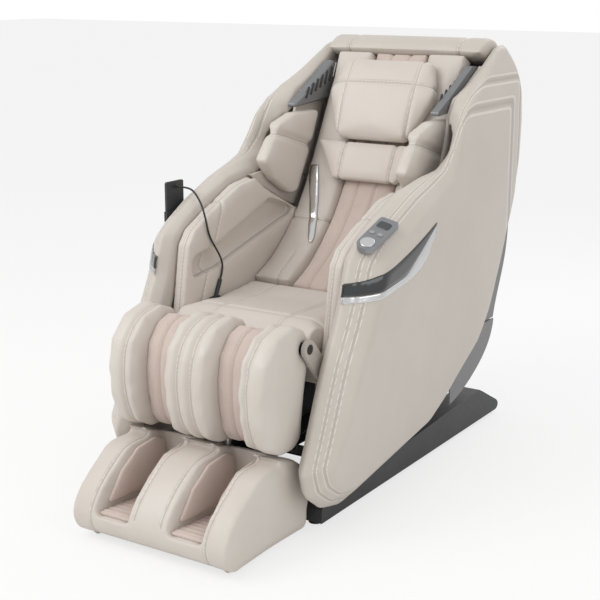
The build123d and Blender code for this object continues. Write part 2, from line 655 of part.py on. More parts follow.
INLET_WIDTH = 48.0
INLET_HEIGHT = 30.0
INLET_DEPTH = 16.0
INLET_MOUTH = (24.0, 16.0)
INLET_X = -45.0
with BuildPart() as power_inlet:
    with BuildSketch(Plane(origin=(INLET_X, POWER_Y[1], FRAME_TOP + 23), x_dir=(-1, 0, 0), z_dir=(0, 1, 0))):
        Rectangle(INLET_WIDTH, INLET_HEIGHT)
    extrude(amount=INLET_DEPTH + 3)
    with BuildSketch(Plane(origin=(INLET_X, POWER_Y[1] + 3, FRAME_TOP + 23), x_dir=(-1, 0, 0), z_dir=(0, 1, 0))):
        Rectangle(*INLET_MOUTH)
        with Locations((0, 0), (-7, -2), (7, -2)):
            Rectangle(2, 5, mode=Mode.SUBTRACT)
    extrude(amount=INLET_DEPTH + 1, mode=Mode.SUBTRACT)
finish(power_inlet.part, "power_inlet")

# ---------------------------------------------------------------------------------------------
# Carriage that slides on the base and carries the tilt shaft
# ---------------------------------------------------------------------------------------------
BLOCK_GAP = 0.4
BLOCK_TOP = 72.0
DECK_THICK = 6.0
with BuildPart() as seat_carriage:
    with BuildSketch(Plane.XY.offset(FRAME_TOP + 6)):
        for sign in (-1, 1):
            with Locations((sign * RAIL_X, -70), (sign * RAIL_X, 230)):
                Rectangle(40, 70)
                Rectangle(RAIL_WIDTH + 2 * BLOCK_GAP, 70, mode=Mode.SUBTRACT)
    extrude(amount=BLOCK_TOP - FRAME_TOP - 6)
    with BuildSketch(Plane.XY.offset(FRAME_TOP + RAIL_HEIGHT + BLOCK_GAP)):
        for sign in (-1, 1):
            with Locations((sign * RAIL_X, -70), (sign * RAIL_X, 230)):
                Rectangle(40, 70)
    extrude(amount=BLOCK_TOP - FRAME_TOP - RAIL_HEIGHT - BLOCK_GAP)
    with BuildSketch(Plane.XY.offset(BLOCK_TOP)):
        with Locations((0, 88)):
            Rectangle(2 * UPRIGHT_X[1], 390)
            Rectangle(160, 250, mode=Mode.SUBTRACT)
    extrude(amount=DECK_THICK)
    for x_start in (UPRIGHT_X[0], -UPRIGHT_X[1]):
        with BuildSketch(Plane.YZ.offset(x_start)):
            with BuildLine():
                Polyline((120, BLOCK_TOP), (283, BLOCK_TOP), (TILT_Y + 26, TILT_Z), (TILT_Y - 26, TILT_Z), (120, BLOCK_TOP))
            make_face()
            with Locations((TILT_Y, TILT_Z)):
                Circle(28)
                Circle(TILT_SHAFT_RADIUS, mode=Mode.SUBTRACT)
        extrude(amount=UPRIGHT_X[1] - UPRIGHT_X[0])
finish(seat_carriage.part, "seat_carriage")

with BuildPart() as tilt_shaft:
    with BuildSketch(Plane.YZ.offset(-LUG_X[1] - 5)):
        with Locations((TILT_Y, TILT_Z)):
            Circle(TILT_SHAFT_RADIUS)
    extrude(amount=2 * (LUG_X[1] + 5))
finish(tilt_shaft.part, "tilt_shaft")

# ---------------------------------------------------------------------------------------------
# Leg rest: calf frame with its walls, divider and pads, and the foot box that slides out of it
# ---------------------------------------------------------------------------------------------
ROD_X = 40.0
ROD_RADIUS = 10.0
SLEEVE_WALL = 6.0
ROD_FOOT = (-500.0, 250.0)  # where the rods leave the foot box
leg_down = Plane(origin=(0, *ROD_FOOT), x_dir=(1, 0, 0), z_dir=(0, *FOOT_SLOPE))
with BuildPart() as calf_frame:
    with BuildSketch(leg_down.offset(-232)):
        with Locations((-ROD_X, 0), (ROD_X, 0)):
            Circle(ROD_RADIUS + SLEEVE_WALL)
    extrude(amount=222)
    with BuildSketch(leg_down.offset(-306)):
        with Locations((0, -20)):
            Rectangle(500, 12)
    extrude(amount=296)
    with BuildSketch(Plane.YZ.offset(-LEG_EAR_X[1] - 1)):
        with Locations((LEG_Y, LEG_Z)):
            Circle(LEG_SHAFT_RADIUS)
    extrude(amount=2 * (LEG_EAR_X[1] + 1))
    with BuildSketch(leg_down.offset(-240)):
        with Locations((-ROD_X, 0), (ROD_X, 0)):
            Circle(ROD_RADIUS + RUNNING)
    extrude(amount=240, mode=Mode.SUBTRACT)
finish(calf_frame.part, "calf_frame")

CALF_OUTLINE = (
    (-560, 262), (-622, 296), (-650, 372), (-657, 460), (-638, 540), (-580, 600), (-500, 620),
    (-440, 597), (-417, 556), (-423, 480), (-442, 370), (-460, 285), (-495, 262),
)
PAD_OUTLINE = (
    (-545, 270), (-578, 310), (-594, 380), (-598, 460), (-584, 530), (-540, 580), (-490, 596),
    (-445, 580), (-424, 545), (-428, 470), (-446, 370), (-462, 292), (-495, 272),
)
with BuildPart() as calf_wall:
    add(side_plate(CALF_WALL_X + 4, LEG_HALF_WIDTH, closed_outline(CALF_OUTLINE)))
    fillet(calf_wall.faces().sort_by(Axis.X)[-1].edges(), 12)
    add(calf_frame.part, mode=Mode.SUBTRACT)
finish_pair(calf_wall.part, "calf_wall")
rod_bores = leg_down.offset(-245)
with BuildPart() as calf_divider:
    add(side_plate(-CALF_DIVIDER_X, CALF_DIVIDER_X, closed_outline(CALF_OUTLINE)))
    with BuildSketch(rod_bores):
        with Locations((-ROD_X, 0), (ROD_X, 0)):
            Circle(ROD_RADIUS + SLEEVE_WALL)
    extrude(amount=300, mode=Mode.SUBTRACT)
    add(calf_frame.part, mode=Mode.SUBTRACT)
finish(calf_divider.part, "calf_divider")
with BuildPart() as calf_pads:
    for sign in (-1, 1):
        inner, outer = sorted((sign * (CALF_DIVIDER_X + HAIR), sign * (CALF_WALL_X + 4 - HAIR)))
        add(side_plate(inner, outer, closed_outline(PAD_OUTLINE)))
    add(calf_frame.part, mode=Mode.SUBTRACT)
finish(calf_pads.part, "calf_pads")

SOLE_FRONT, SOLE_HEEL = (-812.0, 84.0), (-566.0, 64.0)
FOOT_OUTLINE = (
    (-775, 15), (-812, 40), (-824, 78), (-812, 118), (-775, 162), (-720, 208), (-650, 240), (-575, 250),
    (-500, 242), (-448, 216), (-420, 150), (-420, 60), (-432, 18), (-600, 12),
)
with BuildPart() as foot_box:
    with BuildSketch(Plane.YZ.offset(-FOOT_HALF_WIDTH)):
        with BuildLine():
            Line((-440, FLOOR_GAP), (-775, FLOOR_GAP))
            Spline((-775, FLOOR_GAP), (-812, 36), (-824, 82), (-806, 126), (-760, 174), (-700, 218), (-630, 244),
                   (-560, 250), (-490, 238), tangents=[(-1, 0.15), (1, -0.3)])
            Polyline((-490, 238), (-424, 190), (-416, 100), (-428, FLOOR_GAP + 6), (-440, FLOOR_GAP))
        make_face()
    extrude(amount=2 * FOOT_HALF_WIDTH)
    for x_start in (FOOT_WELL_X[0], -FOOT_WELL_X[1]):
        with BuildSketch(Plane.YZ.offset(x_start)):
            with BuildLine():
                Polyline((-850, 90), SOLE_FRONT, SOLE_HEEL, (-524, 88), (-508, 140), (-504, 300), (-850, 300), (-850, 90))
            make_face()
        extrude(amount=FOOT_WELL_X[1] - FOOT_WELL_X[0], mode=Mode.SUBTRACT)
    with BuildSketch(leg_down.offset(-30)):
        with Locations((-ROD_X, 0), (ROD_X, 0)):
            Circle(ROD_RADIUS)
    extrude(amount=120, mode=Mode.SUBTRACT)
    with BuildSketch(Plane.XY):
        for sign in (-1, 1):
            with Locations((sign * 225, -760), (sign * 225, -465)):
                Circle(11)
    extrude(amount=FLOOR_GAP + 8)
finish(foot_box.part, "foot_box")

with BuildPart() as foot_rods:
    with BuildSketch(leg_down.offset(-225)):
        with Locations((-ROD_X, 0), (ROD_X, 0)):
            Circle(ROD_RADIUS)
    extrude(amount=315)
finish(foot_rods.part, "foot_rods")

with BuildPart() as foot_soles:
    for x_start in (FOOT_WELL_X[0] + HAIR, -FOOT_WELL_X[1] + HAIR):
        with BuildSketch(Plane.YZ.offset(x_start)):
            with BuildLine():
                Polyline((SOLE_FRONT[0] + 4, SOLE_FRONT[1] + HAIR), (SOLE_HEEL[0], SOLE_HEEL[1] + HAIR),
                         (SOLE_HEEL[0] - 4, SOLE_HEEL[1] + FOOT_PAD), (SOLE_FRONT[0] + 8, SOLE_FRONT[1] + FOOT_PAD),
                         (SOLE_FRONT[0] + 4, SOLE_FRONT[1] + HAIR))
            make_face()
        extrude(amount=FOOT_WELL_X[1] - FOOT_WELL_X[0] - 2 * HAIR)
finish(foot_soles.part, "foot_soles")

with BuildPart() as foot_pads:
    for x_start in (FOOT_WELL_X[0] + HAIR, FOOT_WELL_X[1] - HAIR - FOOT_PAD,
                    -FOOT_WELL_X[0] - HAIR - FOOT_PAD, -FOOT_WELL_X[1] + HAIR):
        with BuildSketch(Plane.YZ.offset(x_start)) as pad_face:
            with BuildLine():
                Polyline((-776, 108), (-712, 186), (-640, 232), (-560, 240), (-520, 225), (-516, 140), (-552, 96), (-776, 108))
            make_face()
            fillet(pad_face.vertices(), 8)
        extrude(amount=FOOT_PAD)
finish(foot_pads.part, "foot_pads")

# ---------------------------------------------------------------------------------------------
# Control panel on the left arm: bezel, round selector and two keys
# ---------------------------------------------------------------------------------------------
PANEL_CENTRE = (356.0, -226.0, 832.0)
PANEL_SIZE = (58.0, 150.0)
PANEL_THICK = 16.0
KEY_TRAVEL = 1.5
SELECTOR_RADIUS = 21.0
KEY_SIZE = (15.0, 12.0)
KEY_PROUD = 3.0
WELL_DEPTH = 6.0
panel = Plane(origin=PANEL_CENTRE, x_dir=(0.975, 0, -0.22), z_dir=(0.2, -0.4, 0.895))
SELECTOR_AT = (0, -45)
KEYS_AT = ((-13, 0), (13, 0))
with BuildPart() as control_bezel:
    with BuildSketch(panel.offset(-PANEL_THICK)):
        SlotOverall(PANEL_SIZE[1], PANEL_SIZE[0], rotation=90)
        with Locations((0, PANEL_SIZE[1] / 4)):
            RectangleRounded(PANEL_SIZE[0], PANEL_SIZE[1] / 2, 8)
    extrude(amount=PANEL_THICK)
    with BuildSketch(panel.offset(-WELL_DEPTH)):
        with Locations(SELECTOR_AT):
            Circle(SELECTOR_RADIUS + 0.4)
        with Locations(*KEYS_AT):
            RectangleRounded(KEY_SIZE[0] + 0.8, KEY_SIZE[1] + 0.8, 3)
    extrude(amount=WELL_DEPTH, mode=Mode.SUBTRACT)
    add(clear_body, mode=Mode.SUBTRACT)
finish(control_bezel.part, "control_bezel")

with BuildPart() as nav_button:
    with BuildSketch(panel.offset(KEY_TRAVEL + 0.5 - WELL_DEPTH)):
        with Locations(SELECTOR_AT):
            Circle(SELECTOR_RADIUS)
    extrude(amount=WELL_DEPTH - KEY_TRAVEL - 0.5 + KEY_PROUD)
    fillet(nav_button.edges().filter_by(GeomType.CIRCLE).sort_by(Axis.Z)[-1], 2)
finish(nav_button.part, "nav_button")

for place, name in zip(KEYS_AT, ("key_right", "key_left")):
    with BuildPart() as key:
        with BuildSketch(panel.offset(KEY_TRAVEL + 0.5 - WELL_DEPTH)):
            with Locations(place):
                RectangleRounded(*KEY_SIZE, 2.6)
        extrude(amount=WELL_DEPTH - KEY_TRAVEL - 0.5 + KEY_PROUD - 1)
    finish(key.part, name)

# ---------------------------------------------------------------------------------------------
# Tablet remote in its holder on the right arm, and its cord
# ---------------------------------------------------------------------------------------------
TABLET_X = (-412.8, -405.3)
TABLET_Y = (-190.0, -106.0)
TABLET_Z = (786.0, 903.0)
HOLDER_WALL = 5.0
HOLDER_BACK = 2.6
HOLDER_TOP = 812.0
RECESS_GAP = 0.4
GLAND_AT = (-148.0, 886.0)
GLAND_RADIUS = 5.0
GLAND_LENGTH = 6.0


def tablet_box(x_range, rim, top):
    """Block round the tablet's place, with the rim added below and on both sides."""
    with BuildPart() as block:
        with BuildSketch(Plane.YZ.offset(x_range[0])):
            with Locations((sum(TABLET_Y) / 2, (TABLET_Z[0] - rim + top) / 2)):
                Rectangle(TABLET_Y[1] - TABLET_Y[0] + 2 * rim, top - TABLET_Z[0] + rim)
        extrude(amount=x_range[1] - x_range[0])
    return block.part


holder_face = TABLET_X[1] + HAIR + HOLDER_BACK
with BuildPart() as side_shell_right:
    add(mirror(side_shell.part, about=Plane.YZ))
    recess_x = (-CAP_X - TRIM_PROUD, holder_face + RECESS_GAP)
    add(tablet_box(recess_x, HOLDER_WALL + RECESS_GAP, TABLET_Z[1]), mode=Mode.SUBTRACT)
finish(side_shell_right.part, "side_shell_right")

with BuildPart() as remote_tablet:
    with BuildSketch(Plane.YZ.offset(TABLET_X[0])):
        with Locations((sum(TABLET_Y) / 2, sum(TABLET_Z) / 2)):
            RectangleRounded(TABLET_Y[1] - TABLET_Y[0], TABLET_Z[1] - TABLET_Z[0], 6)
    extrude(amount=TABLET_X[1] - TABLET_X[0])
    with BuildSketch(Plane.YZ.offset(TABLET_X[1])):
        with Locations(GLAND_AT):
            Circle(GLAND_RADIUS)
    extrude(amount=GLAND_LENGTH)
finish(remote_tablet.part, "remote_tablet")

with BuildPart() as remote_holder:
    add(tablet_box((-CAP_X - TRIM_PROUD, holder_face), HOLDER_WALL, HOLDER_TOP))
    tablet_space = (-CAP_X - TRIM_PROUD - 1, TABLET_X[1] + HAIR)
    add(tablet_box(tablet_space, HAIR, TABLET_Z[1]), mode=Mode.SUBTRACT)
finish(remote_holder.part, "remote_holder")

SOCKET_X = (-237.0, -224.0)
SOCKET_Z = (540.0, 566.0)
PLUG_RADIUS = 6.5
PLUG_LENGTH = 34.0
with BuildPart() as remote_socket:
    with BuildSketch(Plane.XY.offset(SOCKET_Z[0])):
        with Locations((sum(SOCKET_X) / 2, sum(SOCKET_Y) / 2)):
            RectangleRounded(SOCKET_X[1] - SOCKET_X[0], SOCKET_Y[1] - SOCKET_Y[0] - 1, 3)
    extrude(amount=SOCKET_Z[1] - SOCKET_Z[0])
finish(remote_socket.part, "remote_socket")

CORD_POINTS = [
    (-399, -148, 886), (-364, -148, 887), (-326, -162, 884), (-290, -184, 868), (-256, -208, 848),
    (-233, -222, 812), (-231, -208, 756), (-230, -176, 714), (-231, -147, 676), (-231, -141, 642),
    (-230.5, -156, 614),
]
cord_end = Vector(*CORD_POINTS[-1])
plug_axis = (cord_end - Vector(*CORD_POINTS[-2])).normalized()
with BuildPart() as remote_plug:
    with BuildSketch(Plane(origin=cord_end + plug_axis * 0.3, z_dir=plug_axis)):
        Circle(PLUG_RADIUS)
    extrude(amount=2 * PLUG_LENGTH)
    split(bisect_by=Plane.XY.offset(SOCKET_Z[1] + 0.3), keep=Keep.TOP)
finish(remote_plug.part, "remote_plug")

corners = []
for before, here, after in zip(CORD_POINTS, CORD_POINTS[1:], CORD_POINTS[2:]):
    run_in = Vector(*here) - Vector(*before)
    run_out = Vector(*after) - Vector(*here)
    half_turn = radians(run_in.get_angle(run_out) / 2)
    corners.append(0.45 * min(run_in.length, run_out.length) / tan(half_turn))
print("cord radii:", [round(radius) for radius in corners])
with BuildPart() as remote_cord:
    with BuildLine() as cord_path:
        FilletPolyline(*CORD_POINTS, radius=corners)
    with BuildSketch(Plane(origin=CORD_POINTS[0], z_dir=cord_path.line % 0)):
        Circle(CORD_RADIUS)
    sweep()
cord_length = cord_path.wire().length
expected = 3.14159265 * CORD_RADIUS**2 * cord_length
print(f"cord length {cord_length:.1f}, volume over section times length {remote_cord.part.volume / expected:.5f}")
finish(remote_cord.part, "remote_cord")
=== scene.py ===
import math

import bmesh
import bpy
import numpy as np
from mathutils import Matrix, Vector
from mathutils.bvhtree import BVHTree


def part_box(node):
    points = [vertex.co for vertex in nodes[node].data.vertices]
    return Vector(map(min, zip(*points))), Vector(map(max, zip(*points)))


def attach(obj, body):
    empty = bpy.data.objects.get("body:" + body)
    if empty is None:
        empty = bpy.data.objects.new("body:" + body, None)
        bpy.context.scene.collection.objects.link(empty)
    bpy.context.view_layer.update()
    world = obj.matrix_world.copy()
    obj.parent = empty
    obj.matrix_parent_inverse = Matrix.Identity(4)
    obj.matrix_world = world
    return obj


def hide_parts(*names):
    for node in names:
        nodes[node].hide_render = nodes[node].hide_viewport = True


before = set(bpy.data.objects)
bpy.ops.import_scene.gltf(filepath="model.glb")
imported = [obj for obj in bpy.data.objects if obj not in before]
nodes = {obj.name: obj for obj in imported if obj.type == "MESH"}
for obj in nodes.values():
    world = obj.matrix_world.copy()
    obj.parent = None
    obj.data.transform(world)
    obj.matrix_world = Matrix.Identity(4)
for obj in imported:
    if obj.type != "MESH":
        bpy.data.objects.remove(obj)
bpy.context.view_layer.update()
scene = bpy.context.scene
scene.view_settings.view_transform = "Standard"

# ---- Room ------------------------------------------------------------------------------------
# A pale floor under soft studio light, seen from the front and a little above. The chair stands
# on it on its own feet.

CAMERA_AT = (2.0583, -3.2553, 1.5282)
CAMERA_TURN = math.radians(32.794)
CAMERA_DIP = math.radians(14.306)

camera_data = bpy.data.cameras.new("camera")
camera_data.sensor_width = 36
camera_data.lens = 76.98
camera = bpy.data.objects.new("camera", camera_data)
camera.location = CAMERA_AT
camera.rotation_euler = (math.pi / 2 - CAMERA_DIP, 0, CAMERA_TURN)
scene.collection.objects.link(camera)
scene.camera = camera


class Socket:
    """A value on its way to a shader: sums and products of sockets add their Math nodes."""

    def __init__(self, surface, socket):
        self.surface = surface
        self.socket = socket

    def maths(self, operation, *values, clamp=False):
        return self.surface.node("ShaderNodeMath", {"operation": operation, "use_clamp": clamp},
                                 dict(enumerate(values)))

    def __add__(self, other):
        return self.maths("ADD", self, other)

    def __sub__(self, other):
        return self.maths("SUBTRACT", self, other)

    def __rsub__(self, other):
        return self.maths("SUBTRACT", other, self)

    def __mul__(self, other):
        return self.maths("MULTIPLY", self, other)

    def __truediv__(self, other):
        return self.maths("DIVIDE", self, other)

    def __lt__(self, other):
        return self.maths("LESS_THAN", self, other)

    def __gt__(self, other):
        return self.maths("GREATER_THAN", self, other)

    def __abs__(self):
        return self.maths("ABSOLUTE", self)

    def __mod__(self, other):
        return self.maths("FLOORED_MODULO", self, other)

    def clamped(self):
        return self.maths("ADD", self, 0.0, clamp=True)

    __radd__ = __add__
    __rmul__ = __mul__


class Surface:
    """One material: its shader, and the nodes that feed it."""

    def __init__(self, name, **constants):
        self.material = bpy.data.materials.new(name)
        self.material.use_nodes = True
        self.tree = self.material.node_tree
        self.shader = self.tree.nodes["Principled BSDF"]
        for label, value in constants.items():
            self.set(label.replace("_", " ").title().replace("Ior", "IOR"), value)

    def set(self, label, value):
        if isinstance(value, Socket):
            self.tree.links.new(value.socket, self.shader.inputs[label])
        else:
            self.shader.inputs[label].default_value = value

    def node(self, kind, settings, inputs, output=0):
        made = self.tree.nodes.new(kind)
        for name, value in settings.items():
            setattr(made, name, value)
        for name, value in inputs.items():
            if isinstance(value, Socket):
                self.tree.links.new(value.socket, made.inputs[name])
            else:
                made.inputs[name].default_value = value
        return Socket(self, made.outputs[output])

    def place(self):
        return self.node("ShaderNodeTexCoord", {}, {}, "Object")

    def noise(self, scale, detail=3.0, roughness=0.55):
        return self.node("ShaderNodeTexNoise", {}, {"Vector": self.place(), "Scale": scale, "Detail": detail,
                                                    "Roughness": roughness}, "Fac")

    def cells(self, scale):
        return self.node("ShaderNodeTexVoronoi", {"feature": "F1"}, {"Vector": self.place(), "Scale": scale},
                         "Distance")

    def stored(self, name):
        return self.node("ShaderNodeAttribute", {"attribute_name": name}, {}, "Fac")

    def mix(self, factor, first, second):
        return self.node("ShaderNodeMix", {"data_type": "RGBA"}, {0: factor, 6: first, 7: second}, 2)

    def bump(self, height, depth, strength=1.0):
        self.set("Normal", self.node("ShaderNodeBump", {}, {"Height": height, "Distance": depth,
                                                            "Strength": strength}))


FLOOR_GLOW = 0.72  # how much of the floor the camera sees as plain white
floor_surface = Surface("pale_floor", base_color=(0.88, 0.88, 0.875, 1), roughness=0.8)
floor_surface.bump(floor_surface.noise(40), 0.0004)
camera_ray = floor_surface.node("ShaderNodeLightPath", {}, {}, "Is Camera Ray")
glow = floor_surface.node("ShaderNodeEmission", {}, {"Color": (1, 1, 1, 1), "Strength": 1.0})
seen = floor_surface.node("ShaderNodeMixShader", {}, {0: camera_ray * FLOOR_GLOW, 2: glow})
floor_surface.tree.links.new(floor_surface.shader.outputs[0], seen.socket.node.inputs[1])
floor_surface.tree.links.new(seen.socket, floor_surface.tree.nodes["Material Output"].inputs["Surface"])
bpy.ops.mesh.primitive_plane_add(size=60, location=(0, 0, 0))
floor = bpy.context.object
floor.name = "floor"
floor.data.materials.append(floor_surface.material)

world = bpy.data.worlds.new("studio")
scene.world = world
world.use_nodes = True
world.node_tree.nodes["Background"].inputs["Color"].default_value = (1, 1, 1, 1)
world.node_tree.nodes["Background"].inputs["Strength"].default_value = 0.72
backdrop = world.node_tree.nodes.new("ShaderNodeBackground")
sight = world.node_tree.nodes.new("ShaderNodeLightPath")
either = world.node_tree.nodes.new("ShaderNodeMixShader")
world.node_tree.links.new(sight.outputs["Is Camera Ray"], either.inputs[0])
world.node_tree.links.new(world.node_tree.nodes["Background"].outputs[0], either.inputs[1])
world.node_tree.links.new(backdrop.outputs[0], either.inputs[2])
backdrop.inputs["Color"].default_value = (1, 1, 1, 1)
world.node_tree.links.new(either.outputs[0], world.node_tree.nodes["World Output"].inputs["Surface"])

SOFTBOXES = (
    ((-1.6, -2.6, 3.2), 2.4, 62.0),
    ((2.8, -1.2, 2.2), 1.8, 13.0),
    ((0.6, 2.8, 2.8), 2.0, 22.0),
)
for number, (place, width, power) in enumerate(SOFTBOXES):
    light_data = bpy.data.lights.new(f"softbox_{number}", "AREA")
    light_data.size = width
    light_data.energy = power
    light = bpy.data.objects.new(f"softbox_{number}", light_data)
    light.location = place
    light.rotation_euler = (Vector((0, 0, 0.7)) - Vector(place)).to_track_quat("-Z", "Y").to_euler()
    scene.collection.objects.link(light)

# ---- Side shells -----------------------------------------------------------------------------
# Two big moulded side panels, covered in stretched leather over thin foam. A sewn strip with a
# double row of stitches runs round the rolled front edge.

THREAD = (0.80, 0.75, 0.69, 1)
STITCH_PITCH = 0.0055
STITCH_OFFSET = 0.0042


def leather_surface(name, colour, deep, grain=520.0, roughness=0.46):
    """Grained leather, with painted shade darkening its sewn seams and a row of stitches beside each."""
    leather = Surface(name, specular_ior_level=0.42, sheen_weight=0.06, sheen_roughness=0.4)
    tone = leather.noise(6, 4) * 0.5 + leather.noise(2.2, 2) * 0.5
    seam = leather.stored("seam")
    along = leather.stored("run")
    crease = (1 - seam / 0.0035).clamped()
    beside = abs(seam - STITCH_OFFSET) < 0.0009
    dash = (along % STITCH_PITCH) < STITCH_PITCH * 0.68
    stitch = beside * dash
    base = leather.mix(((tone - 0.38) * 2.2).clamped(), deep, colour)
    # Painted shade: the colour darkens towards 0.6 of the deep tone in the drawn-in crease along each sewn seam.
    base = leather.mix(crease * 0.55, base, tuple(0.6 * c for c in deep[:3]) + (1,))
    leather.set("Base Color", leather.mix(stitch, base, THREAD))
    leather.set("Roughness", leather.noise(60, 3) * 0.16 + (roughness - 0.08) + crease * 0.2)
    pores = leather.cells(grain) * 0.6 + leather.noise(grain * 0.35, 4) * 0.6
    leather.bump(pores * 0.5 + stitch * 1.6 - crease * 2.0, 0.00045, 0.6)
    return leather.material


shell_leather = leather_surface("shell_leather", (0.62, 0.575, 0.525, 1), (0.57, 0.52, 0.465, 1), 620, 0.42)


def worked(source, name, material, voxel, smooth):
    """Rebuild a solid as an even skin of small faces, and round it off."""
    piece = bpy.data.objects.new(name, source.data.copy())
    scene.collection.objects.link(piece)
    piece.data.materials.clear()
    remesh = piece.modifiers.new("skin", "REMESH")
    remesh.mode = "VOXEL"
    remesh.voxel_size = voxel
    soften = piece.modifiers.new("soften", "SMOOTH")
    soften.factor = 0.5
    soften.iterations = smooth
    applied(piece)
    piece.data.materials.append(material)
    return piece


def applied(piece):
    """Make the result of the piece's modifiers its own mesh."""
    graph = bpy.context.evaluated_depsgraph_get()
    mesh = bpy.data.meshes.new_from_object(piece.evaluated_get(graph))
    piece.modifiers.clear()
    piece.data = mesh
    mesh.polygons.foreach_set("use_smooth", [True] * len(mesh.polygons))


def points_of(piece):
    """The mesh's points as an array."""
    points = np.empty(len(piece.data.vertices) * 3)
    piece.data.vertices.foreach_get("co", points)
    return points.reshape(-1, 3)


def normals_of(piece):
    """The mesh's point normals as an array."""
    normals = np.empty(len(piece.data.vertices) * 3)
    piece.data.vertices.foreach_get("normal", normals)
    return normals.reshape(-1, 3)


def place_points(piece, points):
    """Put the mesh's points where the array says."""
    piece.data.vertices.foreach_set("co", points.ravel())
    piece.data.update()


def sew(piece, seams, depth=0.004, width=0.006):
    """Draw the skin in along each seam, a cut across the piece: (axis direction, distance, where or None)."""
    points = points_of(piece)
    nearest = np.full(len(points), 1.0)
    run = points[:, 2].copy()
    for direction, distance, where in seams:
        direction = np.array(direction, float)
        direction /= np.linalg.norm(direction)
        away = np.abs(points @ direction - distance)
        if where is not None:
            away = np.where(where(points), away, 1.0)
        along = np.cross(direction, (0.31, 0.55, 0.77))
        closer = away < nearest
        run = np.where(closer, points @ (along / np.linalg.norm(along)), run)
        nearest = np.minimum(nearest, away)
    if seams:
        place_points(piece, points - normals_of(piece) * (depth * np.exp(-(nearest / width) ** 2))[:, None])
    for label, values in (("seam", nearest), ("run", run)):
        layer = piece.data.attributes.new(label, "FLOAT", "POINT")
        layer.data.foreach_set("value", values.astype(np.float32))


SHELL_SEAM_X = 0.352  # the sewn strip's inner seam, out from the middle of the chair
SHELL_STRIP = 0.021
shells = {}
for side, sign in (("left", 1), ("right", -1)):
    shell = worked(nodes[f"side_shell_{side}"], f"shell_cover_{side}", shell_leather, 0.006, 24)
    sew(shell, [((1, 0, 0), sign * SHELL_SEAM_X, None), ((1, 0, 0), sign * (SHELL_SEAM_X + SHELL_STRIP), None),
                ((0, 0.8, 1), -0.29, lambda p: (p[:, 1] < 0.1) & (np.abs(p[:, 0]) > 0.33))], 0.0012, 0.003)
    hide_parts(f"side_shell_{side}")
    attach(shell, "cabin")
    shells[side] = shell

# ---- Arm trims -------------------------------------------------------------------------------
# A gloss-black blade let into each shell below the arm, tapering to a point behind, with a bright
# metal strip under it. Both are clipped on and stand just proud of the leather.

gloss_black = Surface("gloss_black", base_color=(0.012, 0.013, 0.015, 1), coat_weight=1.0, coat_roughness=0.03)
gloss_black.set("Roughness", gloss_black.noise(30, 2) * 0.06 + 0.1)
gloss_black.bump(gloss_black.noise(700, 2), 0.00004, 0.3)
bright_metal = Surface("bright_metal", metallic=1.0)
bright_metal.set("Base Color", bright_metal.mix(bright_metal.noise(9), (0.66, 0.66, 0.67, 1),
                                                (0.80, 0.80, 0.81, 1)))
bright_metal.set("Roughness", bright_metal.noise(120, 3) * 0.12 + 0.14)
bright_metal.bump(bright_metal.noise(900, 2), 0.00003, 0.3)

BLADE_TOP = ((-0.352, 0.709), (-0.306, 0.717), (-0.261, 0.731), (-0.180, 0.752), (-0.080, 0.784), (0.036, 0.828))
BLADE_FOOT = ((-0.360, 0.674), (-0.310, 0.677), (-0.220, 0.690), (-0.140, 0.706), (-0.070, 0.748), (0.036, 0.822))
STRIP_FOOT = ((-0.364, 0.656), (-0.310, 0.658), (-0.210, 0.672), (-0.110, 0.690), (-0.030, 0.724), (0.026, 0.790))


def curve_points(points, count):
    """Even samples of a smooth line through a few points."""
    points = np.array(points)
    steps = np.arange(len(points))
    fine = np.linspace(0, len(points) - 1, count)
    padded = np.vstack([2 * points[0] - points[1], points, 2 * points[-1] - points[-2]])
    result = []
    for t in fine:
        k = min(int(t), len(steps) - 2)
        u = t - k
        a, b, c, d = padded[k:k + 4]
        result.append(0.5 * (2 * b + (c - a) * u + (2 * a - 5 * b + 4 * c - d) * u * u
                             + (3 * b - a - 3 * c + d) * u ** 3))
    return np.array(result)


def laid_band(name, shell, sign, top, foot, proud, material):
    """A thin strip on the shell's outer skin, between two lines."""
    tree = BVHTree.FromObject(shell, bpy.context.evaluated_depsgraph_get())
    columns, rows = 90, 12
    top, foot = curve_points(top, columns), curve_points(foot, columns)
    mesh = bmesh.new()
    grid = []
    for column in range(columns):
        line = []
        for row in range(rows + 1):
            share = row / rows
            y, z = top[column] * (1 - share) + foot[column] * share
            hit, normal, face, reach = tree.ray_cast(Vector((sign * 0.6, y, z)), Vector((-sign, 0, 0)))
            if hit is None:
                hit, normal = Vector((sign * 0.325, y, z)), Vector((sign, 0, 0))
            lift = proud * min(1.0, 4 * min(share, 1 - share) + 0.35)
            line.append(mesh.verts.new(hit + normal * lift))
        grid.append(line)
    for first, second in zip(grid, grid[1:]):
        for a, b, c, d in zip(first, first[1:], second[1:], second):
            mesh.faces.new((a, b, c, d) if sign > 0 else (d, c, b, a))
    data = bpy.data.meshes.new(name)
    mesh.to_mesh(data)
    mesh.free()
    band = bpy.data.objects.new(name, data)
    scene.collection.objects.link(band)
    thick = band.modifiers.new("thick", "SOLIDIFY")
    thick.thickness = 0.004
    thick.offset = -1
    applied(band)
    soften = band.modifiers.new("soften", "SMOOTH")
    soften.iterations = 2
    applied(band)
    band.data.materials.append(material)
    return band


BLADE_PROUD, STRIP_PROUD = 0.0026, 0.0024
for side, sign in (("left", 1), ("right", -1)):
    blade = laid_band(f"arm_blade_{side}", shells[side], sign, BLADE_TOP, BLADE_FOOT, BLADE_PROUD,
                      gloss_black.material)
    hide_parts(f"trim_black_{side}")
    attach(blade, "cabin")
    strip = laid_band(f"arm_strip_{side}", shells[side], sign, BLADE_FOOT, STRIP_FOOT, STRIP_PROUD,
                      bright_metal.material)
    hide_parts(f"trim_silver_{side}")
    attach(strip, "cabin")

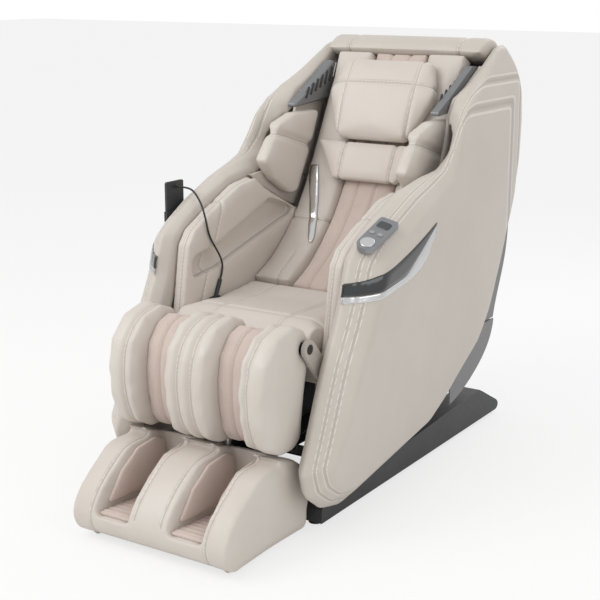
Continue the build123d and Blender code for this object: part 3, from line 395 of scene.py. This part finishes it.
# ---- Seat and arms ---------------------------------------------------------------------------
# The seat is one moulded foam cushion with a sewn middle panel. The arm rests are padded blocks
# with a channel along the inner side, where the sitter's forearm goes.

seat_leather = leather_surface("seat_leather", (0.69, 0.645, 0.595, 1), (0.62, 0.565, 0.51, 1))
PUFF_FRAMES = 10
SETTLE = 14  # rounds of smoothing that take the puckers out of the blown skin


def puffed(piece, pressure, cap):
    """Blow the skin up a little with the cloth solver, as foam does under a sewn cover."""
    start = points_of(piece)
    cloth = piece.modifiers.new("cloth", "CLOTH")
    settings = cloth.settings
    settings.quality = 3
    settings.mass = 0.25
    settings.tension_stiffness = 12
    settings.compression_stiffness = 12
    settings.shear_stiffness = 8
    settings.bending_stiffness = 6
    settings.use_pressure = True
    settings.uniform_pressure_force = pressure
    settings.effector_weights.gravity = 0
    cloth.point_cache.frame_end = PUFF_FRAMES
    for step in range(1, PUFF_FRAMES + 1):
        scene.frame_set(step)
    applied(piece)
    scene.frame_set(1)
    moved = points_of(piece) - start
    reach = np.linalg.norm(moved, axis=1, keepdims=True)
    moved *= np.minimum(1.0, cap / np.maximum(reach, 1e-9))
    place_points(piece, start + moved)


def padded(node, name, body, material, finish, seams=(), voxel=0.007, shrink=0.003, cap=0.007, smooth=6,
           pressure=3.0, depth=0.005, width=0.007, fill=0.8):
    """A stuffed piece in a node's place: an even skin, puffed by cloth, then sewn."""
    pad = worked(nodes[node], name, material, voxel, smooth)
    place_points(pad, points_of(pad) - normals_of(pad) * shrink)
    puffed(pad, pressure, cap)
    soften = pad.modifiers.new("soften", "SMOOTH")
    soften.iterations = SETTLE
    finer = pad.modifiers.new("finer", "SUBSURF")
    finer.levels = 1
    applied(pad)
    sew(pad, seams, depth, width)
    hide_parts(node)
    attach(pad, body)
    return pad


padded("seat_cushion", "seat_pad", "cabin", seat_leather, "greige_leather",
       [((1, 0, 0), -0.118, lambda p: p[:, 2] > 0.5), ((1, 0, 0), 0.118, lambda p: p[:, 2] > 0.5),
        ((0, 1, 0), -0.290, None)], 0.007, 0.004, 0.012, 10, 4.0)
for side, sign in (("left", 1), ("right", -1)):
    padded(f"arm_rest_{side}", f"arm_pad_{side}", "cabin", seat_leather, "greige_leather",
           [((1, 0, 0), sign * 0.262, None), ((0, 1, -0.42), -0.44, None)], 0.006, 0.003, 0.007, 6)

# ---- Back ------------------------------------------------------------------------------------
# A breathable column over the massage track, with a firm bolster on each side. A bright strip
# lies slantwise on each bolster.


def mesh_surface(name, colour, deep):
    """Soft knitted mesh, with its rows of small holes and painted shade along its sewn seams."""
    knit = Surface(name, sheen_weight=0.25, sheen_roughness=0.5, specular_ior_level=0.25)
    holes = (knit.cells(330) * 2.4).clamped()
    tone = knit.noise(7, 4)
    seam = (1 - knit.stored("seam") / 0.004).clamped()
    base = knit.mix(((tone - 0.35) * 2).clamped(), deep, colour)
    base = knit.mix((1 - holes) * 0.45, base, tuple(0.55 * c for c in deep[:3]) + (1,))
    # Painted shade: the colour darkens towards half the deep tone in the drawn-in crease along each sewn seam.
    knit.set("Base Color", knit.mix(seam * 0.5, base, tuple(0.5 * c for c in deep[:3]) + (1,)))
    knit.set("Roughness", knit.noise(90) * 0.15 + 0.62)
    knit.bump(holes + knit.noise(800, 2) * 0.3, 0.0006, 0.6)
    return knit.material


rose_mesh = mesh_surface("rose_mesh", (0.66, 0.56, 0.50, 1), (0.58, 0.475, 0.42, 1))
padded("back_cushion", "back_column", "cabin", rose_mesh, "rose_mesh",
       [((1, 0, 0), -0.033, None), ((1, 0, 0), 0.033, None)], 0.007, 0.004, 0.010, 8, 4.0)
BACK_OUT = Vector((0, -0.889, 0.457))
ACCENT_HIGH, ACCENT_LOW = Vector((0.212, 0.34, 0.915)), Vector((0.116, 0.20, 0.672))
ACCENT_WIDTH = 0.022


def slant_strip(name, bolster, sign):
    """A thin bright strip lying slantwise on a bolster, narrowing to its foot."""
    tree = BVHTree.FromObject(bolster, bpy.context.evaluated_depsgraph_get())
    mesh = bmesh.new()
    grid = []
    for step in range(41):
        share = step / 40
        centre = ACCENT_HIGH.lerp(ACCENT_LOW, share)
        width = ACCENT_WIDTH * (1 - 0.6 * share) * min(1, 12 * (1 - share) + 0.1)
        line = []
        for place in (-1, -0.85, -0.4, 0, 0.4, 0.85, 1):
            start = centre + Vector((place * width, 0, 0)) + BACK_OUT * 0.3
            start.x *= sign
            hit, normal, face, reach = tree.ray_cast(start, -BACK_OUT)
            if hit is None:
                hit = start - BACK_OUT * 0.3
            line.append(mesh.verts.new(hit + BACK_OUT * (0.0035 if abs(place) < 0.9 else 0.0005)))
        grid.append(line)
    for first, second in zip(grid, grid[1:]):
        for a, b, c, d in zip(first, first[1:], second[1:], second):
            mesh.faces.new((a, b, c, d))
    data = bpy.data.meshes.new(name)
    mesh.to_mesh(data)
    mesh.free()
    strip = bpy.data.objects.new(name, data)
    scene.collection.objects.link(strip)
    soften = strip.modifiers.new("soften", "SMOOTH")
    soften.iterations = 4
    thick = strip.modifiers.new("thick", "SOLIDIFY")
    thick.thickness = 0.003
    thick.offset = -sign
    applied(strip)
    data = strip.data
    data.materials.append(bright_metal.material)
    return strip


for side, sign in (("left", 1), ("right", -1)):
    bolster = padded(f"back_bolster_{side}", f"back_bolster_pad_{side}", "cabin", seat_leather, "greige_leather",
           [((0, 0.457, 0.889), 0.78, None), ((1, 0, 0), sign * 0.150, lambda p: p[:, 2] < 0.66)], 0.007, 0.004, 0.009, 8, 4.0)
    accent = slant_strip(f"bolster_strip_{side}", bolster, sign)
    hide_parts(f"back_accent_{side}")
    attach(accent, "cabin")

# ---- Head and shoulders ----------------------------------------------------------------------
# The pillow hangs from a flap over the top of the back and can be thrown behind it. The neck pad
# is sewn to the back under it, and each shoulder air pad has two lobes.

pillow_leather = leather_surface("pillow_leather", (0.70, 0.65, 0.60, 1), (0.63, 0.57, 0.515, 1))
padded("head_pillow", "pillow", "pillow", pillow_leather, "greige_leather",
       [((1, 0, 0), -0.128, None), ((1, 0, 0), 0.128, None), ((0, 0.457, 0.889), 1.245, None)],
       0.006, 0.004, 0.014, 8, 5.0, fill=0.7)
padded("neck_pad", "neck_roll", "cabin", pillow_leather, "greige_leather",
       [((1, 0, 0), -0.095, None), ((1, 0, 0), 0.095, None)], 0.005, 0.002, 0.008, 5, 4.0, fill=0.7)
padded("head_cap", "head_cap_cover", "cabin", shell_leather, "greige_leather",
       [((1, 0, 0), -0.205, None), ((1, 0, 0), 0.205, None)], 0.007, 0.003, 0.007, 6)
for side, sign in (("left", 1), ("right", -1)):
    padded(f"shoulder_pad_{side}", f"shoulder_lobes_{side}", "cabin", seat_leather, "greige_leather",
           [((0, 0.3, 1), 1.035, None)], 0.005, 0.003, 0.008, 6, 4.0, depth=0.011, width=0.014, fill=0.7)
    padded(f"wing_pad_{side}", f"wing_lining_{side}", "cabin", seat_leather, "greige_leather",
           [((0, 0.457, 0.889), 0.95, None)], 0.004, 0.001, 0.003, 3, 2.0)

# ---- Speakers --------------------------------------------------------------------------------
# Moulded wedges beside the head, with slanting louvres over the driver and a bright end block.

charcoal = Surface("charcoal_plastic", base_color=(0.035, 0.036, 0.04, 1))
charcoal.set("Roughness", charcoal.noise(80) * 0.18 + 0.42)
charcoal.bump(charcoal.cells(900) * 0.6 + charcoal.noise(300, 3) * 0.5, 0.00012, 0.5)
speaker_grey = Surface("speaker_grey", metallic=0.4)
speaker_grey.set("Base Color", speaker_grey.mix(speaker_grey.noise(20), (0.20, 0.205, 0.215, 1),
                                                (0.26, 0.265, 0.275, 1)))
speaker_grey.set("Roughness", speaker_grey.noise(200) * 0.15 + 0.36)
speaker_grey.bump(speaker_grey.noise(600, 3), 0.00008, 0.4)


def bevelled_bar(name, start, end, across, lift, radii, material):
    """A rounded bar between two points, wide across and low in lift."""
    start, end, across, lift = (Vector(v) for v in (start, end, across, lift))
    mesh = bmesh.new()
    rings = []
    for share, scale in ((0, 0.6), (0.06, 1), (0.94, 1), (1, 0.6)):
        centre = start.lerp(end, share)
        ring = []
        for step in range(12):
            turn = 2 * math.pi * step / 12
            ring.append(mesh.verts.new(centre + across * (radii[0] * scale * math.cos(turn))
                                       + lift * (radii[1] * scale * math.sin(turn))))
        rings.append(ring)
    for first, second in zip(rings, rings[1:]):
        for k in range(12):
            mesh.faces.new((first[k], first[(k + 1) % 12], second[(k + 1) % 12], second[k]))
    mesh.faces.new(list(reversed(rings[0])))
    mesh.faces.new(rings[-1])
    bmesh.ops.recalc_face_normals(mesh, faces=mesh.faces)
    data = bpy.data.meshes.new(name)
    mesh.to_mesh(data)
    mesh.free()
    data.polygons.foreach_set("use_smooth", [True] * len(data.polygons))
    bar = bpy.data.objects.new(name, data)
    scene.collection.objects.link(bar)
    data.materials.append(material)
    return bar


LOUVRES = 7
for side, sign in (("left", 1), ("right", -1)):
    speaker = nodes[f"speaker_{side}"]
    speaker.data.materials.clear()
    speaker.data.materials.append(speaker_grey.material)
    low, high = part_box(f"speaker_{side}")
    face_x = low.x if sign > 0 else high.x
    for number in range(LOUVRES):
        share = 0.26 + 0.62 * number / (LOUVRES - 1)
        y = low.y + (high.y - low.y) * share
        z = low.z + (high.z - low.z) * (0.14 + 0.76 * share)
        tall = 0.020 + 0.012 * share
        louvre = bevelled_bar(f"speaker_louvre_{side}_{number + 1}", (face_x, y - 0.008, z - tall),
                              (face_x, y + 0.012, z + tall * 0.6), (0, 1, -0.4), (1, 0, 0), (0.0052, 0.0035),
                              bright_metal.material if number == LOUVRES - 1 else charcoal.material)
        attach(louvre, "cabin")

# ---- Calf rest -------------------------------------------------------------------------------
# Two open channels for the calves, between thick padded walls and a divider of three lobes. Rose
# pads with air bags behind them line each channel.

padded("calf_divider", "calf_divider_pad", "leg_rest", seat_leather, "greige_leather",
       [((1, 0, 0), -0.023, None), ((1, 0, 0), 0.023, None)], 0.006, 0.003, 0.010, 8, 4.0, depth=0.012, width=0.011)
padded("calf_pads", "calf_lining", "leg_rest", rose_mesh, "rose_mesh",
       [((1, 0, 0), -0.124, None), ((1, 0, 0), 0.124, None)], 0.006, 0.003, 0.008, 8, 4.0)
for side, sign in (("left", 1), ("right", -1)):
    padded(f"calf_wall_{side}", f"calf_wall_pad_{side}", "leg_rest", seat_leather, "greige_leather",
           [((1, 0, 0), sign * 0.207, None)], 0.006, 0.003, 0.010, 8, 4.0, depth=0.011, width=0.010)

# ---- Foot box --------------------------------------------------------------------------------
# A covered box that slides out of the calf rest on two rods, with a deep well for each foot. The
# soles are ridged where the massage rollers work, and rose pads line the sides.

padded("foot_box", "foot_box_cover", "foot_rest", seat_leather, "greige_leather",
       [((1, 0, 0), -0.196, lambda p: p[:, 2] > 0.02), ((1, 0, 0), 0.196, lambda p: p[:, 2] > 0.02),
        ((1, 0, 0), -0.045, lambda p: p[:, 2] > 0.1), ((1, 0, 0), 0.045, lambda p: p[:, 2] > 0.1)],
       0.006, 0.003, 0.006, 5, 3.0, depth=0.004, width=0.005)
padded("foot_pads", "foot_lining", "foot_rest", rose_mesh, "rose_mesh", [], 0.0035, 0.001, 0.004, 3, 3.0)
soles = padded("foot_soles", "foot_sole_mats", "foot_rest", rose_mesh, "rose_mesh", [], 0.004, 0.001, 0.004, 3, 3.0)
RIDGE_PITCH, RIDGE_HEIGHT = 0.022, 0.0018
ridge = points_of(soles)
wave = np.maximum(0, np.sin(ridge[:, 1] * 2 * math.pi / RIDGE_PITCH))
on_top = np.abs(normals_of(soles)[:, 2:3]) > 0.6
place_points(soles, ridge + normals_of(soles) * (RIDGE_HEIGHT * wave)[:, None] * on_top)

# ---- Controls --------------------------------------------------------------------------------
# A gloss panel on the left arm, with a bright round selector and two grey keys. A tablet stands
# in a holder on the right arm.

key_grey = Surface("key_grey")
key_grey.set("Base Color", key_grey.mix(key_grey.noise(40), (0.30, 0.30, 0.31, 1), (0.36, 0.36, 0.37, 1)))
key_grey.set("Roughness", key_grey.noise(300) * 0.12 + 0.32)
key_grey.bump(key_grey.noise(900, 2), 0.00004, 0.3)
screen_glass = Surface("screen_glass", base_color=(0.02, 0.024, 0.03, 1), coat_weight=1.0, coat_roughness=0.02)
screen_glass.set("Roughness", screen_glass.noise(12) * 0.04 + 0.06)


def plate(name, centre, x_way, y_way, size, thick, material, rounding=0.25):
    """A thin plate with round corners and a soft edge, lying on a surface."""
    centre, x_way, y_way = Vector(centre), Vector(x_way).normalized(), Vector(y_way).normalized()
    up = x_way.cross(y_way)
    radius = rounding * min(size)
    mesh = bmesh.new()
    rings = []
    for level, pull in ((0, 0), (0.7, 0), (1.0, 0.0006)):
        ring = []
        for quarter in range(4):
            for step in range(6):
                turn = math.pi / 2 * (quarter + step / 5)
                sx = 1 if quarter in (0, 3) else -1
                sy = 1 if quarter in (0, 1) else -1
                x = sx * (size[0] / 2 - radius) + (radius - pull) * math.cos(turn)
                y = sy * (size[1] / 2 - radius) + (radius - pull) * math.sin(turn)
                ring.append(mesh.verts.new(centre + x_way * x + y_way * y + up * (thick * level)))
        rings.append(ring)
    for first, second in zip(rings, rings[1:]):
        for k in range(24):
            mesh.faces.new((first[k], first[(k + 1) % 24], second[(k + 1) % 24], second[k]))
    mesh.faces.new(list(reversed(rings[0])))
    mesh.faces.new(rings[-1])
    bmesh.ops.recalc_face_normals(mesh, faces=mesh.faces)
    data = bpy.data.meshes.new(name)
    mesh.to_mesh(data)
    mesh.free()
    piece = bpy.data.objects.new(name, data)
    scene.collection.objects.link(piece)
    data.materials.append(material)
    return piece


def finished(material, *names):
    """Give CAD pieces their finish."""
    for name in names:
        nodes[name].data.materials.clear()
        nodes[name].data.materials.append(material)


panel_grey = Surface("panel_grey", metallic=0.75)
panel_grey.set("Base Color", panel_grey.mix(panel_grey.noise(15), (0.27, 0.275, 0.29, 1), (0.34, 0.345, 0.36, 1)))
panel_grey.set("Roughness", panel_grey.noise(150) * 0.12 + 0.26)
panel_grey.bump(panel_grey.noise(800, 2), 0.00004, 0.3)
finished(panel_grey.material, "control_bezel")
finished(bright_metal.material, "nav_button")
finished(key_grey.material, "key_left", "key_right")
PANEL_CENTRE = Vector((0.356, -0.226, 0.832))
PANEL_X = Vector((0.975, 0, -0.22)).normalized()
PANEL_UP = Vector((0.2, -0.4, 0.895)).normalized()
PANEL_Y = PANEL_UP.cross(PANEL_X)
window = plate("control_window", PANEL_CENTRE + PANEL_Y * 0.042 + PANEL_UP * 0.0001, PANEL_X, PANEL_Y,
               (0.040, 0.030), 0.0012, screen_glass.material)
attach(window, "cabin")

tablet_low, tablet_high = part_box("remote_tablet")
finished(charcoal.material, "remote_tablet", "remote_holder", "remote_socket")
tablet_middle = (tablet_low + tablet_high) / 2
screen = plate("tablet_screen", (tablet_low.x + 0.0002, tablet_middle.y, tablet_middle.z + 0.004),
               (0, -1, 0), (0, 0, 1), (0.074, 0.100), 0.0006, screen_glass.material, 0.06)
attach(screen, "remote")

# ---- Remote cord -----------------------------------------------------------------------------
# A thin limp lead from the tablet, over the right arm and down inside it to a socket by the seat.

CORD_POINTS = (
    (-0.399, -0.148, 0.886), (-0.364, -0.148, 0.887), (-0.326, -0.162, 0.884), (-0.290, -0.184, 0.868),
    (-0.256, -0.208, 0.848), (-0.233, -0.222, 0.812), (-0.231, -0.208, 0.756), (-0.230, -0.176, 0.714),
    (-0.231, -0.147, 0.676), (-0.231, -0.141, 0.642), (-0.2305, -0.156, 0.614),
)
CORD_RADIUS = 0.003
cord_rubber = Surface("cord_rubber", base_color=(0.018, 0.018, 0.019, 1))
cord_rubber.set("Roughness", cord_rubber.noise(150) * 0.2 + 0.38)
cord_rubber.bump(cord_rubber.noise(500, 2), 0.00008, 0.4)
cord_curve = bpy.data.curves.new("remote_lead", "CURVE")
cord_curve.dimensions = "3D"
spline = cord_curve.splines.new("NURBS")
spline.points.add(len(CORD_POINTS) - 1)
for point, place in zip(spline.points, CORD_POINTS):
    point.co = (*place, 1)
spline.order_u = 3
spline.use_endpoint_u = True
cord_curve.resolution_u = 8
cord_curve.bevel_depth = CORD_RADIUS
cord_curve.bevel_resolution = 4
cord_curve.use_fill_caps = True
cord_curve.materials.append(cord_rubber.material)
lead = bpy.data.objects.new("remote_lead", cord_curve)
scene.collection.objects.link(lead)
finished(charcoal.material, "remote_plug")
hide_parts("remote_cord")
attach(lead, "cabin")

# ---- Base, covers and works ------------------------------------------------------------------
# Charcoal mouldings on a black steel frame, grey covers behind the seat, and the steel parts of
# the slide, the tilt and the massage carriage inside.

cover_grey = Surface("cover_grey")
cover_grey.set("Base Color", cover_grey.mix(cover_grey.noise(5), (0.215, 0.21, 0.215, 1), (0.255, 0.25, 0.255, 1)))
cover_grey.set("Roughness", cover_grey.noise(70) * 0.14 + 0.44)
cover_grey.bump(cover_grey.cells(700) * 0.6, 0.00012, 0.5)
skid_charcoal = Surface("skid_charcoal")
skid_charcoal.set("Base Color", skid_charcoal.mix(skid_charcoal.noise(6), (0.040, 0.041, 0.044, 1),
                                                  (0.060, 0.061, 0.064, 1)))
skid_charcoal.set("Roughness", skid_charcoal.noise(90) * 0.2 + 0.36)
skid_charcoal.bump(skid_charcoal.cells(800) * 0.6, 0.00012, 0.5)
black_steel = Surface("black_steel", metallic=0.3)
black_steel.set("Base Color", black_steel.mix(black_steel.noise(12), (0.02, 0.02, 0.021, 1),
                                              (0.035, 0.035, 0.036, 1)))
black_steel.set("Roughness", black_steel.noise(120) * 0.2 + 0.4)
black_steel.bump(black_steel.noise(500, 3), 0.00008, 0.4)
ground_steel = Surface("ground_steel", metallic=1.0)
ground_steel.set("Base Color", ground_steel.mix(ground_steel.noise(12), (0.50, 0.50, 0.51, 1), (0.62, 0.62, 0.63, 1)))
ground_steel.set("Roughness", ground_steel.noise(160) * 0.15 + 0.24)
black_rubber = Surface("black_rubber")
black_rubber.set("Base Color", black_rubber.mix(black_rubber.noise(14), (0.014, 0.014, 0.014, 1),
                                                (0.028, 0.028, 0.027, 1)))
black_rubber.set("Roughness", black_rubber.noise(140) * 0.15 + 0.62)
black_rubber.bump(black_rubber.noise(700, 3), 0.0001, 0.5)
finished(cover_grey.material, "rear_cover_upper", "rear_cover_lower")
finished(skid_charcoal.material, "base_skid_left", "base_skid_right", "transport_wheel_left", "transport_wheel_right",
         "power_box", "power_inlet")
finished(shell_leather, "seat_frame")
finished(black_steel.material, "base_frame", "seat_carriage", "back_frame", "calf_frame",
         "massage_carriage", "kneading_arms")
finished(ground_steel.material, "slide_rails", "tilt_shaft", "wheel_axles", "foot_rods")
finished(black_rubber.material, "base_feet", "kneading_rollers")
